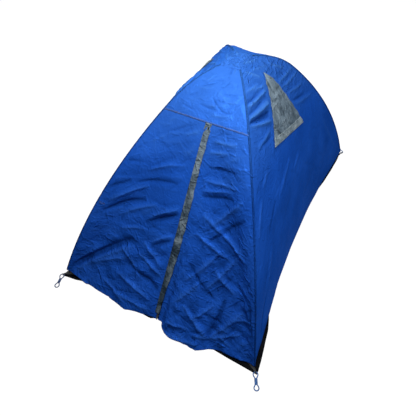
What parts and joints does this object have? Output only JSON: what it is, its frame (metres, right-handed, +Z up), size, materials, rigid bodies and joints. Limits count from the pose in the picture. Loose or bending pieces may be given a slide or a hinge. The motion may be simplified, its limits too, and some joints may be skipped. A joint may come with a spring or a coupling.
{
  "type": "two-pole dome shelter",
  "caption": "Small dome shelter: crinkled blue cloth cover over two crossed poles, black tub floor, zipped door under a grey storm flap, flapped side vents, corner peg loops.",
  "frame": {"origin": "on the ground under the crown, at the middle of the groundsheet's underside", "axes": "+Z up, -Y out through the door, +X to the right seen from the door"},
  "size_m": [1.377, 2.1989, 1.153],
  "materials": {
    "cover_cloth": "thin coated polyester, crinkled, satin sheen",
    "grey_cloth": "grey coated polyester, wrinkled",
    "groundsheet": "black woven polyethylene sheet, dull gloss",
    "webbing": "black polyester webbing, flat weave",
    "zip_coil": "black nylon coil",
    "slider": "dark lacquered zinc casting",
    "pull": "soft black moulding",
    "net": "fine black insect net",
    "pole": "black glass-fibre rod, satin",
    "ferrule": "plain drawn steel tube",
    "shock_cord": "braided elastic",
    "pole_tip": "black coated steel",
    "eyelet": "plated pressed steel",
    "loop_cord": "blue braided elastic cord"
  },
  "bodies": {
    "shelter": {"groundsheet": "groundsheet", "front_upper_panel": "cover_cloth", "front_left_panel": "cover_cloth", "front_right_panel": "cover_cloth", "left_panel": "cover_cloth", "right_panel": "cover_cloth", "rear_panel": "cover_cloth", "crown_patch": "cover_cloth", "zip_top_stop": "zip_coil", "vent_mesh_left": "net", "vent_mesh_right": "net", "corner_eyelets": "eyelet", "left_pole_section_1": "pole", "left_pole_section_2": "pole", "left_pole_section_3": "pole", "left_pole_section_4": "pole", "left_pole_section_5": "pole", "left_pole_section_6": "pole", "left_pole_section_7": "pole", "right_pole_section_1": "pole", "right_pole_section_2": "pole", "right_pole_section_3": "pole", "right_pole_section_4": "pole", "right_pole_section_5": "pole", "right_pole_section_6": "pole", "right_pole_section_7": "pole", "left_pole_ferrules": "ferrule", "left_pole_keepers": "webbing", "left_pole_shock_cord": "shock_cord", "right_pole_ferrules": "ferrule", "right_pole_keepers": "webbing", "right_pole_shock_cord": "shock_cord", "pole_tip_left_front": "pole_tip", "pole_tip_right_front": "pole_tip", "pole_tip_right_rear": "pole_tip", "pole_tip_left_rear": "pole_tip", "corner_tab_left_front": "webbing", "corner_tab_right_front": "webbing", "corner_tab_right_rear": "webbing", "corner_tab_left_rear": "webbing"},
    "door_left": {"door_left_leaf": "cover_cloth", "zip_tape_left": "webbing", "zip_coil_left": "zip_coil"},
    "door_right": {"door_right_leaf": "cover_cloth", "zip_tape_right": "webbing", "zip_coil_right": "zip_coil"},
    "storm_flap": {"storm_flap": "grey_cloth"},
    "zip_slider": {"zip_slider": "slider"},
    "zip_pull": {"zip_pull": "pull"},
    "vent_left": {"vent_flap_left": "grey_cloth"},
    "vent_right": {"vent_flap_right": "grey_cloth"},
    "peg_left_front": {"peg_loop_left_front": "loop_cord"},
    "peg_right_front": {"peg_loop_right_front": "loop_cord"},
    "peg_right_rear": {"peg_loop_right_rear": "loop_cord"},
    "peg_left_rear": {"peg_loop_left_rear": "loop_cord"}
  },
  "joints": [
    {"name": "door_left_fold", "type": "hinge", "parent": "shelter", "child": "door_left", "pos_m": [0.028, -0.36345, 0.98161], "axis": [-0.4864, -0.4754, -0.7331], "range_deg": [0, 110]},
    {"name": "door_right_fold", "type": "hinge", "parent": "shelter", "child": "door_right", "pos_m": [0.028, -0.36345, 0.98161], "axis": [-0.4522, 0.4853, 0.7483], "range_deg": [0, 110]},
    {"name": "zip_slide", "type": "slide", "parent": "shelter", "child": "zip_slider", "axis": [0, 0.5441, 0.839], "range_m": [0, 1.12944]},
    {"name": "zip_pull_swing", "type": "hinge", "parent": "zip_slider", "child": "zip_pull", "pos_m": [0.028, -0.9875, 0.03003], "axis": [-1, 0, 0], "range_deg": [0, 150]},
    {"name": "storm_flap_lift", "type": "hinge", "parent": "door_left", "child": "storm_flap", "pos_m": [0.006, -0.72921, 0.42033], "axis": [0, -0.5441, -0.839], "range_deg": [0, 55]},
    {"name": "vent_left_lift", "type": "hinge", "parent": "shelter", "child": "vent_left", "pos_m": [-0.14123, 0.03, 1.098], "axis": [0, 1, 0], "range_deg": [0, 40]},
    {"name": "vent_right_lift", "type": "hinge", "parent": "shelter", "child": "vent_right", "pos_m": [0.14123, 0.03, 1.098], "axis": [0, -1, 0], "range_deg": [0, 40]},
    {"name": "peg_left_front_swing", "type": "hinge", "parent": "shelter", "child": "peg_left_front", "pos_m": [-0.65817, -1.01258, 0.00503], "axis": [-0.9703, -0.2419, 0], "range_deg": [0, 85]},
    {"name": "peg_right_front_swing", "type": "hinge", "parent": "shelter", "child": "peg_right_front", "pos_m": [0.65817, -1.01258, 0.00503], "axis": [-0.8988, -0.4384, 0], "range_deg": [0, 85]},
    {"name": "peg_right_rear_swing", "type": "hinge", "parent": "shelter", "child": "peg_right_rear", "pos_m": [0.65817, 1.01258, 0.00503], "axis": [0.7986, 0.6018, 0], "range_deg": [0, 85]},
    {"name": "peg_left_rear_swing", "type": "hinge", "parent": "shelter", "child": "peg_left_rear", "pos_m": [-0.65817, 1.01258, 0.00503], "axis": [0.7986, -0.6018, 0], "range_deg": [0, 85]}
  ],
  "couplings": [
    {"joint": "door_right_fold", "follows": "door_left_fold", "ratio": 1},
    {"joint": "zip_slide", "follows": "door_left_fold", "m_per_rad": 0.58829}
  ]
}
